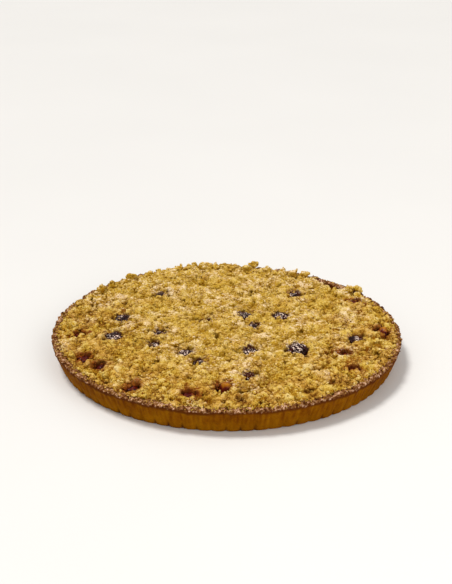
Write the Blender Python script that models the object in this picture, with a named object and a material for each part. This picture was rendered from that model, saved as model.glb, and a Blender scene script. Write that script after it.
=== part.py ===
"""A raspberry crumble tart, 280 mm across: a fluted pastry shell, a layer of raspberry filling,
a heap of crumble over it, and the raspberries that show between the crumbs.

Metres, +Z up. The origin is the middle of the shell's underside, and the viewer is at -Y.
"""

import math
import random

import bmesh
import bpy
from mathutils import Matrix, Vector

MM = 0.001

# Driving sizes
RIM_RADIUS = 140 * MM  # the shell's widest radius, on the ribs just under the rim
FOOT_RADIUS = 133 * MM  # on the ribs at the foot
RIM_HEIGHT = 20 * MM
RIM_WIDTH = 6.8 * MM  # the pastry's thickness at the rim
FLOOR_THICKNESS = 4 * MM
FLUTES = 80
FLUTE_DEPTH = 1.5 * MM
FILLING_TOP = 13.6 * MM  # the filling's level
WELL_TOP = 20 * MM  # how high it wells up in a gap
HEAP_MIDDLE = 22.6 * MM  # the crumble's bare core, in the middle
HEAP_EDGE = 17.8 * MM  # and where it meets the shell
BERRY_RADIUS = 7.8 * MM
BERRY_FLATNESS = 0.70  # a baked berry's height against its width
GAP = 0.3 * MM  # kept between pieces that touch

# The shell's mesh
STEPS_PER_FLUTE = 4
FLUTED_SEGMENTS = FLUTES * STEPS_PER_FLUTE
PLAIN_SEGMENTS = FLUTES
COARSE_SEGMENTS = FLUTES // 2
FRONT = -math.pi / 2  # a groove faces the viewer
WALL_SLOPE = (RIM_RADIUS - FOOT_RADIUS) / RIM_HEIGHT

# The ring that a tin's loose base leaves on the underside
BASE_RING_RADIUS = 117 * MM
BASE_RING_WIDTH = 1.6 * MM
BASE_RING_DEPTH = 0.6 * MM

# The raspberries that show: x and y in millimetres, and size against BERRY_RADIUS
RASPBERRIES = [
    (-88, -20, 1.05),
    (-85, 17, 0.90),
    (-54, 66, 0.85),
    (-53, -12, 0.82),
    (-56, -32, 0.78),
    (-32, -48, 0.90),
    (-20, -63, 0.80),
    (-18, 10, 0.70),
    (15, 25, 0.92),
    (22, 3, 0.80),
    (44, 23, 1.00),
    (57, 70, 0.78),
    (19, -44, 0.92),
    (55, -41, 1.15),
    (17, -86, 0.75),
    (101, -20, 0.88),
]

# The gaps in the crumble where the filling shows: x, y and radius in millimetres
FILLING_GAPS = [
    (-2, -104, 5.4),
    (-108, -55, 4.8),
    (-95, -69, 5.4),
    (-115, -15, 4.2),
    (-67, -105, 4.2),
    (124, -3, 4.4),
    (108, 56, 4.4),
    (90, -48, 4.6),
    (97, -72, 4.2),
    (-27, -114, 4.0),
]

# The core's rings of corners, from the rim in: radius and how many corners
CORE_RINGS = [
    (124 * MM, 40),
    (110 * MM, 40),
    (90 * MM, 20),
    (60 * MM, 20),
    (30 * MM, 10),
]

# Clods of crumble, the largest first: radius and how many of them
CLOD_TIERS = [
    (6.4 * MM, 75),
    (5.3 * MM, 62),
    (4.3 * MM, 27),
]
CLOD_REACH = 1.2  # a clod's furthest corner against its radius
CLOD_CLOSENESS = 1.15  # the nearest that two clods' middles come, against their radii's sum
CLOD_TRIES = 200
SMALL_CLOD = 5.6 * MM  # the largest radius close to the rim
RIM_BAND = 10 * MM  # how close to the rim that is
VIEW_CLEARING = 3.5 * MM  # kept clear of clods in front of a berry

# Clods that lie over the rim, each with one inside it: degrees from the right towards the back
RIM_CLOD_ANGLES = [35, 59, 80, 96, 106, 130, 145, 338, 249, 205]
RIM_CLOD_RADIUS = 3.9 * MM

SEED = 20


def polar(radius, angle, height):
    """A point at a distance and an angle (radians) from the middle."""
    return Vector((radius * math.cos(angle), radius * math.sin(angle), height))


def smooth(low, high, value):
    """0 at low, 1 at high, and a smooth step between."""
    share = min(1.0, max(0.0, (value - low) / (high - low)))
    return share * share * (3 - 2 * share)


def wander(angle, waves, seed):
    """A wobble round the tart, from -1 to 1, that closes on itself."""
    draw = random.Random(seed)
    total = sum(math.sin(wave * angle + draw.uniform(0, math.tau)) for wave in waves)
    return total / len(waves)


def spot(entry):
    """The place on the ground of an entry of RASPBERRIES or FILLING_GAPS."""
    return Vector((entry[0] * MM, entry[1] * MM, 0))


def make_material(name, colour, roughness):
    """A plain finish in the food's own colour."""
    material = bpy.data.materials.new(name)
    material.use_nodes = True
    shader = material.node_tree.nodes["Principled BSDF"]
    shader.inputs["Base Color"].default_value = (*colour, 1.0)
    shader.inputs["Roughness"].default_value = roughness
    shader.inputs["Metallic"].default_value = 0.0
    return material


def new_object(bm, name):
    """Turns a bmesh into an object with its faces outward, not yet in the scene."""
    bmesh.ops.recalc_face_normals(bm, faces=bm.faces)
    mesh = bpy.data.meshes.new(name)
    bm.to_mesh(mesh)
    bm.free()
    return bpy.data.objects.new(name, mesh)


def finish(piece, material, sharp_degrees):
    """Puts a piece in the scene, with its material, shaded smooth up to its sharp edges."""
    piece.data.materials.append(material)
    piece.data.shade_smooth()
    piece.data.set_sharp_from_angle(angle=math.radians(sharp_degrees))
    if piece.name not in bpy.context.scene.collection.objects:
        bpy.context.scene.collection.objects.link(piece)
    return piece


def ring(bm, segments, place, start=FRONT):
    """A closed loop of vertices, place(angle) giving each."""
    return [bm.verts.new(place(start + math.tau * i / segments)) for i in range(segments)]


def skin(bm, first, second):
    """Faces between two rings. The second may have a whole number of times fewer vertices."""
    ratio = len(first) // len(second)
    half = ratio // 2
    for i, corner in enumerate(second):
        following = second[(i + 1) % len(second)]
        for step in range(ratio):
            a = first[(i * ratio + step) % len(first)]
            b = first[(i * ratio + step + 1) % len(first)]
            near = step < half or ratio == 1
            bm.faces.new((a, b, corner if near else following))
            if step == max(half - 1, 0):
                bm.faces.new((b, following, corner))


def cap(bm, loop, centre):
    """A fan from a ring to its middle."""
    middle = bm.verts.new(centre)
    for i, vertex in enumerate(loop):
        bm.faces.new((vertex, loop[(i + 1) % len(loop)], middle))


def flute(angle):
    """How far the wall is drawn in at this angle: 0 on a rib's crest, 1 in a groove."""
    place = (angle - FRONT) / math.tau * FLUTES % 1.0
    return 1 - math.sin(math.pi * place) ** 0.7


def rim_lift(angle):
    """The hand-pressed rim's unevenness."""
    return 0.35 * MM * wander(angle, (3, 7, 16), 1) + 0.3 * MM * wander(angle, (29, 41, 53), 2)


def fluted(radius, height, share, lift=0.0):
    """A place function for a ring of the fluted wall; share is how much fluting it has."""
    def place(angle):
        drawn_in = share * FLUTE_DEPTH * flute(angle)
        return polar(radius - drawn_in, angle, height + lift * rim_lift(angle))

    return place


def plain(radius, height):
    """A place function for a plain ring."""
    return lambda angle: polar(radius, angle, height)


def inner_wall_radius(height):
    """The shell's inside radius at a height, following the slope of the outside."""
    return RIM_RADIUS - RIM_WIDTH - (RIM_HEIGHT - height) * WALL_SLOPE


def make_shell(material):
    """The pastry shell: floor, fluted wall and uneven rim."""
    bm = bmesh.new()
    outside = [
        fluted(FOOT_RADIUS - 1.6 * MM, 0.0, 0.80),
        fluted(FOOT_RADIUS + 1.4 * MM * WALL_SLOPE, 1.4 * MM, 1.0),
        fluted(RIM_RADIUS, RIM_HEIGHT - 2.4 * MM, 0.85, lift=0.5),
        fluted(RIM_RADIUS - 1.4 * MM, RIM_HEIGHT - 0.3 * MM, 0.45, lift=1.0),
    ]
    rings = [ring(bm, FLUTED_SEGMENTS, place) for place in outside]
    lip = RIM_HEIGHT - 2 * MM
    inside = [
        fluted(RIM_RADIUS - RIM_WIDTH * 0.62, RIM_HEIGHT, 0.1, lift=1.0),
        plain(inner_wall_radius(lip), lip),
        plain(inner_wall_radius(FLOOR_THICKNESS), FLOOR_THICKNESS),
    ]
    rings += [ring(bm, PLAIN_SEGMENTS, place) for place in inside[:2]]
    rings.append(ring(bm, COARSE_SEGMENTS, inside[2]))
    for lower, upper in zip(rings, rings[1:]):
        skin(bm, lower, upper)
    cap(bm, rings[-1], Vector((0, 0, FLOOR_THICKNESS)))
    base_ring = [
        plain(BASE_RING_RADIUS + BASE_RING_WIDTH, 0.0),
        plain(BASE_RING_RADIUS, BASE_RING_DEPTH),
        plain(BASE_RING_RADIUS - BASE_RING_WIDTH, 0.0),
    ]
    underside = [rings[0], ring(bm, PLAIN_SEGMENTS, base_ring[0])]
    underside += [ring(bm, COARSE_SEGMENTS, place) for place in base_ring[1:]]
    for outer, inner in zip(underside, underside[1:]):
        skin(bm, outer, inner)
    cap(bm, underside[-1], Vector((0, 0, 0)))
    return finish(new_object(bm, "pastry_shell"), material, 40)


def boolean(piece, others, operation):
    """Joins or cuts a whole collection of meshes into a piece, and removes them."""
    if piece.name not in bpy.context.scene.collection.objects:
        bpy.context.scene.collection.objects.link(piece)
    group = bpy.data.collections.new("helpers")
    bpy.context.scene.collection.children.link(group)
    for other in others:
        group.objects.link(other)
    modifier = piece.modifiers.new("boolean", "BOOLEAN")
    modifier.operation = operation
    modifier.solver = "MANIFOLD"
    modifier.operand_type = "COLLECTION"
    modifier.collection = group
    graph = bpy.context.evaluated_depsgraph_get()
    result = bpy.data.meshes.new_from_object(piece.evaluated_get(graph))
    piece.modifiers.remove(modifier)
    piece.data = result
    for other in others:
        bpy.data.objects.remove(other)
    bpy.data.collections.remove(group)


def keep_largest_part(piece):
    """Drops the scraps that a cut leaves loose and the hollows that a union seals."""
    bm = bmesh.new()
    bm.from_mesh(piece.data)
    parts = []
    left = set(bm.verts)
    while left:
        first = left.pop()
        part = [first]
        for vertex in part:
            for edge in vertex.link_edges:
                other = edge.other_vert(vertex)
                if other in left:
                    left.remove(other)
                    part.append(other)
        parts.append(part)
    parts.sort(key=len)
    for scrap in parts[:-1]:
        bmesh.ops.delete(bm, geom=scrap, context="VERTS")
    bm.to_mesh(piece.data)
    bm.free()


def make_lump(place, radius, levels, wobble, draw, sides=6):
    """A closed lump of planar sides: levels lists (height, share of the radius) from the foot up.

    Every level is a scaled copy of one uneven outline, so that each side is one flat face.
    """
    bm = bmesh.new()
    turn = draw.uniform(0, math.tau)
    outline = [
        polar(radius * (1 + draw.uniform(-wobble, wobble)), turn + math.tau * i / sides, 0)
        for i in range(sides)
    ]
    rings = [
        [bm.verts.new(place + share * corner + Vector((0, 0, height))) for corner in outline]
        for height, share in levels
    ]
    for lower, upper in zip(rings, rings[1:]):
        for i in range(sides):
            j = (i + 1) % sides
            bm.faces.new((lower[i], lower[j], upper[j], upper[i]))
    bm.faces.new(rings[0])
    bm.faces.new(rings[-1])
    return new_object(bm, "lump")


def make_berry_pocket(entry, draw):
    """A cutter for a berry's pocket: from the filling up, closing over the berry's shoulder."""
    radius = BERRY_RADIUS * entry[2]
    outer = (radius + 1.5 * GAP) / math.cos(math.pi / 6)
    middle = FILLING_TOP + GAP + radius * BERRY_FLATNESS
    shoulder = middle + 0.45 * radius * BERRY_FLATNESS
    levels = [
        (FILLING_TOP - 1 * MM, 1.0),
        (shoulder, 1.0),
        (shoulder + 5 * MM, 0.3),
    ]
    return make_lump(spot(entry), outer, levels, 0.0, draw)


def make_gap(entry, draw):
    """A cutter for a gap down to the filling."""
    levels = [(FILLING_TOP - 1 * MM, 1.0), (HEAP_MIDDLE + 6 * MM, 1.1)]
    return make_lump(spot(entry), entry[2] * MM * 1.22, levels, 0.05, draw)


def make_well(entry, draw):
    """A dome of filling that wells up in a gap."""
    levels = [
        (FILLING_TOP - 1.5 * MM, 1.0),
        (WELL_TOP - 2.2 * MM, 0.98),
        (WELL_TOP, 0.6),
    ]
    return make_lump(spot(entry), entry[2] * MM - 2 * GAP, levels, 0.06, draw)


def make_filling(material):
    """The raspberry filling: a disc inside the shell that wells up where the crumble gapes."""
    bm = bmesh.new()

    def dimpled(radius):
        def place(angle):
            dip = 0.5 + 0.5 * math.sin(radius * 900 + 2) * math.sin(9 * angle + radius * 300)
            return polar(radius, angle, FILLING_TOP - 0.8 * MM * dip)

        return place

    floor = FLOOR_THICKNESS + GAP
    edge = inner_wall_radius(FILLING_TOP) - 2 * GAP
    foot = ring(bm, COARSE_SEGMENTS, plain(inner_wall_radius(floor) - 2 * GAP, floor))
    rings = [ring(bm, COARSE_SEGMENTS, plain(edge, FILLING_TOP - 0.6 * MM))]
    for share in (0.86, 0.66, 0.44):
        rings.append(ring(bm, COARSE_SEGMENTS, dimpled(edge * share)))
    skin(bm, foot, rings[0])
    cap(bm, foot, Vector((0, 0, floor)))
    for outer, inner in zip(rings, rings[1:]):
        skin(bm, outer, inner)
    cap(bm, rings[-1], Vector((0, 0, FILLING_TOP - 0.4 * MM)))
    filling = new_object(bm, "raspberry_filling")
    draw = random.Random(SEED + 1)
    boolean(filling, [make_well(entry, draw) for entry in FILLING_GAPS], "UNION")
    keep_largest_part(filling)
    return finish(filling, material, 50)


def heap_height(radius):
    """The crumble's bare core: low beside the rim, nearly level in the middle."""
    brink = inner_wall_radius(HEAP_EDGE)
    inward = smooth(0, 20 * MM, brink - radius)
    crown = 1.2 * MM * (1 - (radius / brink) ** 2)
    return HEAP_EDGE + (HEAP_MIDDLE - 1.2 * MM - HEAP_EDGE) * inward + crown


def make_core(draw):
    """The crumble's core, resting on the filling, with an uneven top."""
    bm = bmesh.new()

    def uneven(radius):
        def place(angle):
            out = radius + draw.uniform(-2, 2) * MM
            return polar(out, angle, heap_height(out) + draw.uniform(-0.9, 0.9) * MM)

        return place

    under = FILLING_TOP + GAP
    foot = ring(bm, PLAIN_SEGMENTS, plain(inner_wall_radius(under) - 2 * GAP, under))
    brim_radius = inner_wall_radius(HEAP_EDGE) - 2 * GAP
    rings = [foot, ring(bm, PLAIN_SEGMENTS, plain(brim_radius, HEAP_EDGE))]
    for radius, segments in CORE_RINGS:
        rings.append(ring(bm, segments, uneven(radius)))
    cap(bm, foot, Vector((0, 0, under)))
    for outer, inner in zip(rings, rings[1:]):
        skin(bm, outer, inner)
    cap(bm, rings[-1], Vector((0, 0, heap_height(0.0))))
    return new_object(bm, "crumble_topping")


def make_clod(place, radius, draw):
    """One clod of crumble: a low-sided lump, wide in the middle and blunt on top."""
    levels = [
        (-0.80 * radius, 0.60),
        (draw.uniform(0.0, 0.16) * radius, 1.0),
        (draw.uniform(0.72, 0.90) * radius, draw.uniform(0.42, 0.56)),
    ]
    clod = make_lump(Vector((0, 0, 0)), radius, levels, 0.12, draw, sides=5)
    stretch = Matrix.Diagonal((draw.uniform(0.92, 1.08), draw.uniform(0.85, 1.0), 1.0)).to_4x4()
    turn = Matrix.Rotation(draw.uniform(0, math.tau), 4, "Z")
    lean = Matrix.Rotation(draw.uniform(0, 0.4), 4, "X")
    clod.data.transform(Matrix.Translation(place) @ turn @ lean @ stretch)
    return clod


def clear_of_spots(place, radius):
    """Whether a clod there stays clear of every raspberry and every gap."""
    flat = Vector((place.x, place.y, 0))
    toward_viewer = Vector((0, -VIEW_CLEARING, 0))
    for entry in RASPBERRIES:
        room = BERRY_RADIUS * entry[2] + radius * CLOD_REACH + GAP
        if min((flat - spot(entry)).length, (flat - spot(entry) - toward_viewer).length) < room:
            return False
    for entry in FILLING_GAPS:
        if (flat - spot(entry)).length < entry[2] * MM + radius * CLOD_REACH:
            return False
    return True


def place_rim_clods():
    """The clods over the rim and the ones inside that hold them: (centre, radius) each."""
    placed = []
    for degrees in RIM_CLOD_ANGLES:
        angle = math.radians(degrees)
        radius = RIM_CLOD_RADIUS
        height = RIM_HEIGHT + 1.0 * MM + radius * 0.90
        placed.append((polar(RIM_RADIUS - 8.4 * MM, angle, height), radius))
        inner = radius * 1.38
        distance = inner_wall_radius(RIM_HEIGHT - 2 * MM) - 2 * GAP - inner * 1.1
        placed.append((polar(distance, angle, RIM_HEIGHT + 2.4 * MM), inner))
    return [item for item in placed if clear_of_spots(*item)]


def scatter_clods(draw):
    """Places for all the clods, the largest first: (centre, radius) each."""
    placed = place_rim_clods()
    for tier_radius, count in CLOD_TIERS:
        made = 0
        for _ in range(count * CLOD_TRIES):
            if made == count:
                break
            radius = tier_radius * draw.uniform(0.9, 1.1)
            limit = inner_wall_radius(RIM_HEIGHT - 2 * MM) - 2 * GAP - radius * CLOD_REACH
            distance = limit * math.sqrt(draw.random())
            height = heap_height(distance) + radius * draw.uniform(-0.2, 0.1)
            place = polar(distance, draw.uniform(0, math.tau), height)
            if distance > limit - RIM_BAND and radius > SMALL_CLOD:
                continue
            if not clear_of_spots(place, radius):
                continue
            if any((place - other).length < CLOD_CLOSENESS * (radius + size) for other, size in placed):
                continue
            placed.append((place, radius))
            made += 1
    return placed


def make_crumble(material):
    """The crumble: its core, pockets for what shows through, and the clods fused on."""
    draw = random.Random(SEED)
    crumble = make_core(draw)
    pockets = [make_berry_pocket(entry, draw) for entry in RASPBERRIES]
    pockets += [make_gap(entry, draw) for entry in FILLING_GAPS]
    boolean(crumble, pockets, "DIFFERENCE")
    clods = [make_clod(place, radius, draw) for place, radius in scatter_clods(draw)]
    boolean(crumble, clods, "UNION")
    keep_largest_part(crumble)
    return finish(crumble, material, 20)


def make_raspberry(number, entry, material):
    """A baked raspberry resting on the filling: staggered rows of drupelets round a slumped body."""
    radius = BERRY_RADIUS * entry[2]
    half_height = radius * BERRY_FLATNESS
    columns = 10
    rows = 5
    bm = bmesh.new()
    rings = []
    for row in range(1, rows + 1):
        latitude = math.pi * row / (rows + 1) - math.pi / 2
        loop = []
        for column in range(columns):
            bump = 1.0 if (row + column) % 2 else 0.88
            across = radius * math.cos(latitude) * bump
            up = half_height * math.sin(latitude) * bump
            loop.append(bm.verts.new(polar(across, math.tau * column / columns, up)))
        rings.append(loop)
    for lower, upper in zip(rings, rings[1:]):
        skin(bm, lower, upper)
    cap(bm, rings[0], Vector((0, 0, -half_height * 0.95)))
    cap(bm, rings[-1], Vector((0, 0, half_height * 0.95)))
    berry = new_object(bm, f"raspberry_{number:02d}")
    berry.location = spot(entry) + Vector((0, 0, FILLING_TOP + GAP + half_height * 0.95))
    berry.rotation_euler = (0, 0, math.radians(37 * number))
    return finish(berry, material, 60)


def main():
    for old in list(bpy.data.objects):
        bpy.data.objects.remove(old)
    pastry = make_material("pastry", (0.42, 0.20, 0.05), 0.75)
    crumble = make_material("crumble", (0.62, 0.40, 0.13), 0.85)
    filling = make_material("filling", (0.16, 0.02, 0.02), 0.25)
    berry = make_material("raspberry", (0.09, 0.015, 0.03), 0.35)
    make_shell(pastry)
    make_filling(filling)
    make_crumble(crumble)
    for number, entry in enumerate(RASPBERRIES, start=1):
        make_raspberry(number, entry, berry)


main()
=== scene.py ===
# %% [markdown]
# # A raspberry crumble tart
# The tart is a shallow fluted shell of shortcrust pastry, filled with raspberries and covered
# with a rough layer of crumble. A few dark berries and some jam show between the crumbs, and
# icing sugar lies in faint patches over it all.
# The CAD model gives the size and place of every part. This lesson gives each part its real
# surface. The first step loads that model, which stays where it is as a frame to build on.

# %% Load the frame
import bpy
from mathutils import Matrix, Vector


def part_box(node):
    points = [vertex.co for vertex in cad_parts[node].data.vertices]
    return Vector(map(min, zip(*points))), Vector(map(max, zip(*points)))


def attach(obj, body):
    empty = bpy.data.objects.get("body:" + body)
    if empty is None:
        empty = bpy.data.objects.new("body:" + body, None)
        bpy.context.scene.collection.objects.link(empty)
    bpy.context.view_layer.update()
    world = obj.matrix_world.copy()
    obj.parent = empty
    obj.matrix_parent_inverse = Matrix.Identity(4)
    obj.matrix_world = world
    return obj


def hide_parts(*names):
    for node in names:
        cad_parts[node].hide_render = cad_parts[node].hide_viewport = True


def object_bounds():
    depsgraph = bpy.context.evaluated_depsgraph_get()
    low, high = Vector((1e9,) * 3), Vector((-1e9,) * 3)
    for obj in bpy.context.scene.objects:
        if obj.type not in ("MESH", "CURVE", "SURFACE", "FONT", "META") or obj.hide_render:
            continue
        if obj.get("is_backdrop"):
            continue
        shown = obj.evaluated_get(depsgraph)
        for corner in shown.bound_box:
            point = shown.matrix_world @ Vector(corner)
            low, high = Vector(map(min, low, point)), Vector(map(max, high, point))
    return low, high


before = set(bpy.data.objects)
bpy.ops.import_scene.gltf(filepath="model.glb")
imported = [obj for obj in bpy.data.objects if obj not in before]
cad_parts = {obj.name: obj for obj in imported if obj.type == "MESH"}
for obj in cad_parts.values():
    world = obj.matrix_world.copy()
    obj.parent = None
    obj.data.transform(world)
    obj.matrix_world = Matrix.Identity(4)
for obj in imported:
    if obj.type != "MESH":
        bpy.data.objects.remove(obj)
cad_low, cad_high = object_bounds()
print("CAD box in mm:", [round(1000 * side, 1) for side in cad_high - cad_low])

# %% [markdown]
# ## Tools for the whole lesson
# Everything is in metres, so `MM` keeps the kitchen sizes readable. Each operator of Blender
# acts on whatever is selected, and the loaded model is still selected, so `take` first
# deselects everything and then picks up one piece alone.

# %% Selecting and finishing a piece
import math
import random

import bpy
import numpy as np
from mathutils import Euler, Matrix, Vector, noise
from mathutils.bvhtree import BVHTree

MM = 0.001


def put_down():
    """Deselects everything."""
    bpy.ops.object.select_all(action="DESELECT")


def take(piece):
    """Selects one piece alone and makes it active."""
    put_down()
    piece.select_set(True)
    bpy.context.view_layer.objects.active = piece


def apply_modifiers(piece):
    """Applies a piece's modifiers in order."""
    take(piece)
    for modifier in list(piece.modifiers):
        bpy.ops.object.modifier_apply(modifier=modifier.name)


def add_object(name, data):
    """Puts a mesh, lamp or camera into the scene as an object."""
    made = bpy.data.objects.new(name, data)
    bpy.context.scene.collection.objects.link(made)
    return made


def shade_smooth(piece):
    """Shades a piece as one smooth surface."""
    take(piece)
    bpy.ops.object.shade_smooth()


def triangles(piece):
    """How many triangles a mesh piece has."""
    piece.data.calc_loop_triangles()
    return len(piece.data.loop_triangles)


put_down()
print("nodes:", len(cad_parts))

# %% [markdown]
# Many steps work on all the corners of a mesh at once. NumPy does that in one line where a
# Python loop takes seconds, so short functions read the corners out, put them back, and store
# numbers at them that a material can read.

# %% Reading and writing corners
def corners(piece):
    """The corners of a mesh piece as an array of rows x, y, z."""
    flat = np.empty(3 * len(piece.data.vertices))
    piece.data.vertices.foreach_get("co", flat)
    return flat.reshape(-1, 3)


def move_corners(piece, places):
    """Puts changed corners back into the mesh."""
    piece.data.vertices.foreach_set("co", np.asarray(places, float).ravel())
    piece.data.update()


def store(piece, **numbers):
    """Stores numbers at the corners under their names."""
    for name, values in numbers.items():
        stored = piece.data.attributes.new(name, "FLOAT", "POINT")
        stored.data.foreach_set("value", np.asarray(values, np.float32))


def away_from(places, spot):
    """How far each corner lies from a spot, seen from above."""
    return np.hypot(places[:, 0] - spot[0], places[:, 1] - spot[1])


def polar(distance, way):
    """The place x, y at a distance from the middle in a direction."""
    return distance * math.cos(way), distance * math.sin(way)


def smoothstep(low, high, value):
    """0 below low, 1 above high and an even slope between, for numbers and arrays."""
    share = np.clip((value - low) / (high - low), 0, 1)
    return share * share * (3 - 2 * share)


def rough(place, size, seed):
    """Smooth noise from about -1 to 1 whose bumps are about size across."""
    return noise.noise(Vector(place) / size + Vector((seed, 2 * seed, -seed)))


def rough_from_above(places, size, seed):
    """The same noise for every corner, whatever its height."""
    return np.array([rough((x, y, 0), size, seed) for x, y, z in places])


print("smoothstep half way:", smoothstep(0, 1, 0.5))

# %% [markdown]
# ## The camera
# The tart was seen from the side of a table, about 25 degrees above it and a metre away. A
# camera looking slightly over the tart leaves it low in a tall picture. The three turns are
# made from the outside in: the heading, then the tilt, then the lean of a hand-held camera.

# %% Place the camera
camera_data = bpy.data.cameras.new("camera")
camera_data.lens = 76.9
camera_data.sensor_width = 36
camera_data.clip_start = 0.01
camera = add_object("camera", camera_data)
heading = Matrix.Rotation(math.radians(0.049), 4, "Z")
tilt = Matrix.Rotation(math.radians(67.21), 4, "X")
lean = Matrix.Rotation(math.radians(0.44), 4, "Z")
camera.matrix_world = Matrix.Translation((0, -0.910, 0.4345)) @ heading @ tilt @ lean
bpy.context.scene.camera = camera
print("camera distance in m:", round(camera.location.length, 3))

# %% [markdown]
# ## Floor and light
# A plain pale floor reaches past the picture's edges. The light is a studio's: a broad sun lamp,
# high up on the left, models the crumbs and lights the floor evenly to the horizon, a weaker
# soft lamp in front opens the shadows of the wall, and a pale world fills the rest. The
# Standard view keeps food colours as they are, where Blender's default view would grey them.

# %% Make the floor and the lamps
put_down()
bpy.ops.mesh.primitive_plane_add(size=40, location=(0, 0, 0))
floor = bpy.context.object
floor.name = "floor"
floor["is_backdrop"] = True


def lamp(name, kind, place, power, colour):
    """A lamp that faces the tart from a place."""
    data = bpy.data.lights.new(name, kind)
    data.energy = power
    data.color = colour
    light = add_object(name, data)
    light.location = place
    light.rotation_euler = (-Vector(place)).to_track_quat("-Z", "Y").to_euler()
    return data


lamp("key", "SUN", (-0.38, 0.10, 1.0), 2.30, (1.0, 0.98, 0.95)).angle = math.radians(18)
lamp("front", "AREA", (0.75, -1.15, 0.8), 8.4, (1.0, 0.98, 0.95)).size = 0.9
world = bpy.data.worlds.new("studio")
world.use_nodes = True
sky = world.node_tree.nodes["Background"].inputs
sky["Color"].default_value = (1.0, 0.985, 0.96, 1)
sky["Strength"].default_value = 0.595
bpy.context.scene.world = world
bpy.context.scene.view_settings.view_transform = "Standard"

# %% [markdown]
# ## Writing materials as sums
# A material is a graph of nodes. Written link by link it is long and hard to read, so a small
# class wraps a socket and lets Python's own operators add the Math nodes: `1 - mask` becomes a
# Subtract node. Every other node comes from one method that takes the node's type, its
# settings and its inputs.

# %% A small language for materials
class Socket:
    """A number, colour or vector in a material's graph."""

    def __init__(self, finish, socket):
        self.finish = finish
        self.socket = socket

    def sum(self, operation, *values):
        inputs = dict(enumerate(values))
        return self.finish.node("ShaderNodeMath", {"operation": operation}, inputs)

    def __add__(self, other):
        return self.sum("ADD", self, other)

    __radd__ = __add__

    def __sub__(self, other):
        return self.sum("SUBTRACT", self, other)

    def __rsub__(self, other):
        return self.sum("SUBTRACT", other, self)

    def __mul__(self, other):
        return self.sum("MULTIPLY", self, other)

    __rmul__ = __mul__

    def between(self, low, high):
        """0 below low, 1 above high, smooth between."""
        settings = {"interpolation_type": "SMOOTHSTEP"}
        inputs = {"Value": self, "From Min": low, "From Max": high}
        return self.finish.node("ShaderNodeMapRange", settings, inputs)


class Finish:
    """A material under construction, with its coordinates at hand."""

    def __init__(self, name, roughness, coat=0.0, specular=0.5):
        self.material = bpy.data.materials.new(name)
        self.material.use_nodes = True
        self.tree = self.material.node_tree
        self.shader = self.tree.nodes["Principled BSDF"]
        sockets = self.shader.inputs
        sockets["Roughness"].default_value = roughness
        sockets["Coat Weight"].default_value = coat
        sockets["Coat Roughness"].default_value = 0.15
        sockets["Specular IOR Level"].default_value = specular
        self.place = self.node("ShaderNodeTexCoord", {}, {}, "Object")

    def node(self, kind, settings, inputs, output=0):
        """Adds a node: its settings first, then the values or links of its sockets."""
        made = self.tree.nodes.new(kind)
        for setting, value in settings.items():
            if setting == "stops":
                for _ in range(len(value) - 2):
                    made.color_ramp.elements.new(0.5)
                for stop, (position, colour) in zip(made.color_ramp.elements, value):
                    stop.position = position
                    stop.color = (*colour, 1.0)
            else:
                setattr(made, setting, value)
        for key, value in inputs.items():
            if isinstance(value, Socket):
                self.tree.links.new(value.socket, made.inputs[key])
            elif made.inputs[key].type == "RGBA":
                made.inputs[key].default_value = (*value, 1.0)
            else:
                made.inputs[key].default_value = value
        return Socket(self, made.outputs[output])

    def noise(self, size, detail=2.0, spread=0.5):
        """Cloudy noise from 0 to 1 whose blotches are about size across."""
        inputs = {"Vector": self.place, "Scale": 1 / size, "Detail": detail, "Roughness": spread}
        return self.node("ShaderNodeTexNoise", {}, inputs, "Fac")

    def mix(self, share, first, second):
        """A colour between two others."""
        settings = {"data_type": "RGBA"}
        return self.node("ShaderNodeMix", settings, {0: share, 6: first, 7: second}, 2)

    def shades(self, value, *stops):
        """A colour read from a ramp. Each stop is a position and a colour."""
        return self.node("ShaderNodeValToRGB", {"stops": stops}, {"Fac": value})

    def part_of(self, vector, axis):
        """One of a vector's three numbers."""
        return self.node("ShaderNodeSeparateXYZ", {}, {0: vector}, axis)

    def height(self):
        """The height above the floor."""
        return self.part_of(self.place, "Z")

    def upward(self):
        """1 where the surface faces up, 0 where it is upright."""
        return self.part_of(self.node("ShaderNodeNewGeometry", {}, {}, "Normal"), "Z")

    def attribute(self, name):
        """A number that is stored at the mesh's corners."""
        return self.node("ShaderNodeAttribute", {"attribute_name": name}, {}, "Fac")

    def set(self, name, value):
        """Lets a varying value drive one of the surface's sockets."""
        self.tree.links.new(value.socket, self.shader.inputs[name])

    def bump(self, value, depth):
        """Raises the surface by value times depth, in metres."""
        inputs = {"Height": value, "Distance": depth, "Strength": 1.0}
        self.set("Normal", self.node("ShaderNodeBump", {}, inputs, "Normal"))


print("nodes are added by Finish.node")

# %% [markdown]
# ## The floor's finish
# Even plain painted board isn't one flat tone, so a faint cloud and a grain finer than a
# millimetre keep it from looking empty.

# %% Finish the floor
board = Finish("pale_board", 0.75)
board.set("Base Color", board.mix(board.noise(0.3), (0.68, 0.67, 0.655), (0.72, 0.71, 0.695)))
board.bump(board.noise(0.0008), 0.00005)
floor.data.materials.append(board.material)
print("floor:", floor.name)

# %% [markdown]
# ## The pastry shell
# The shell was pressed into a fluted tin and baked, so it has about eighty shallow ribs with a
# narrow groove between each pair, a slightly wider mouth than foot, and an upper edge trimmed
# by hand that is rough and browned.
# A turned shape comes from a profile: its outline is drawn once, on one side, and spun round
# the middle. The outline here runs from the middle of the underside, out and up the wall,
# over the rim, down inside and back to the middle of the floor.

# %% Draw the shell's outline
FOOT = 133 * MM
FLUTES = 80
STEPS_PER_FLUTE = 12


def along(first, last, steps):
    """Points on a straight line, without the last one."""
    way = np.subtract(last, first)
    return [tuple(first + way * i / steps) for i in range(steps)]


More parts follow.
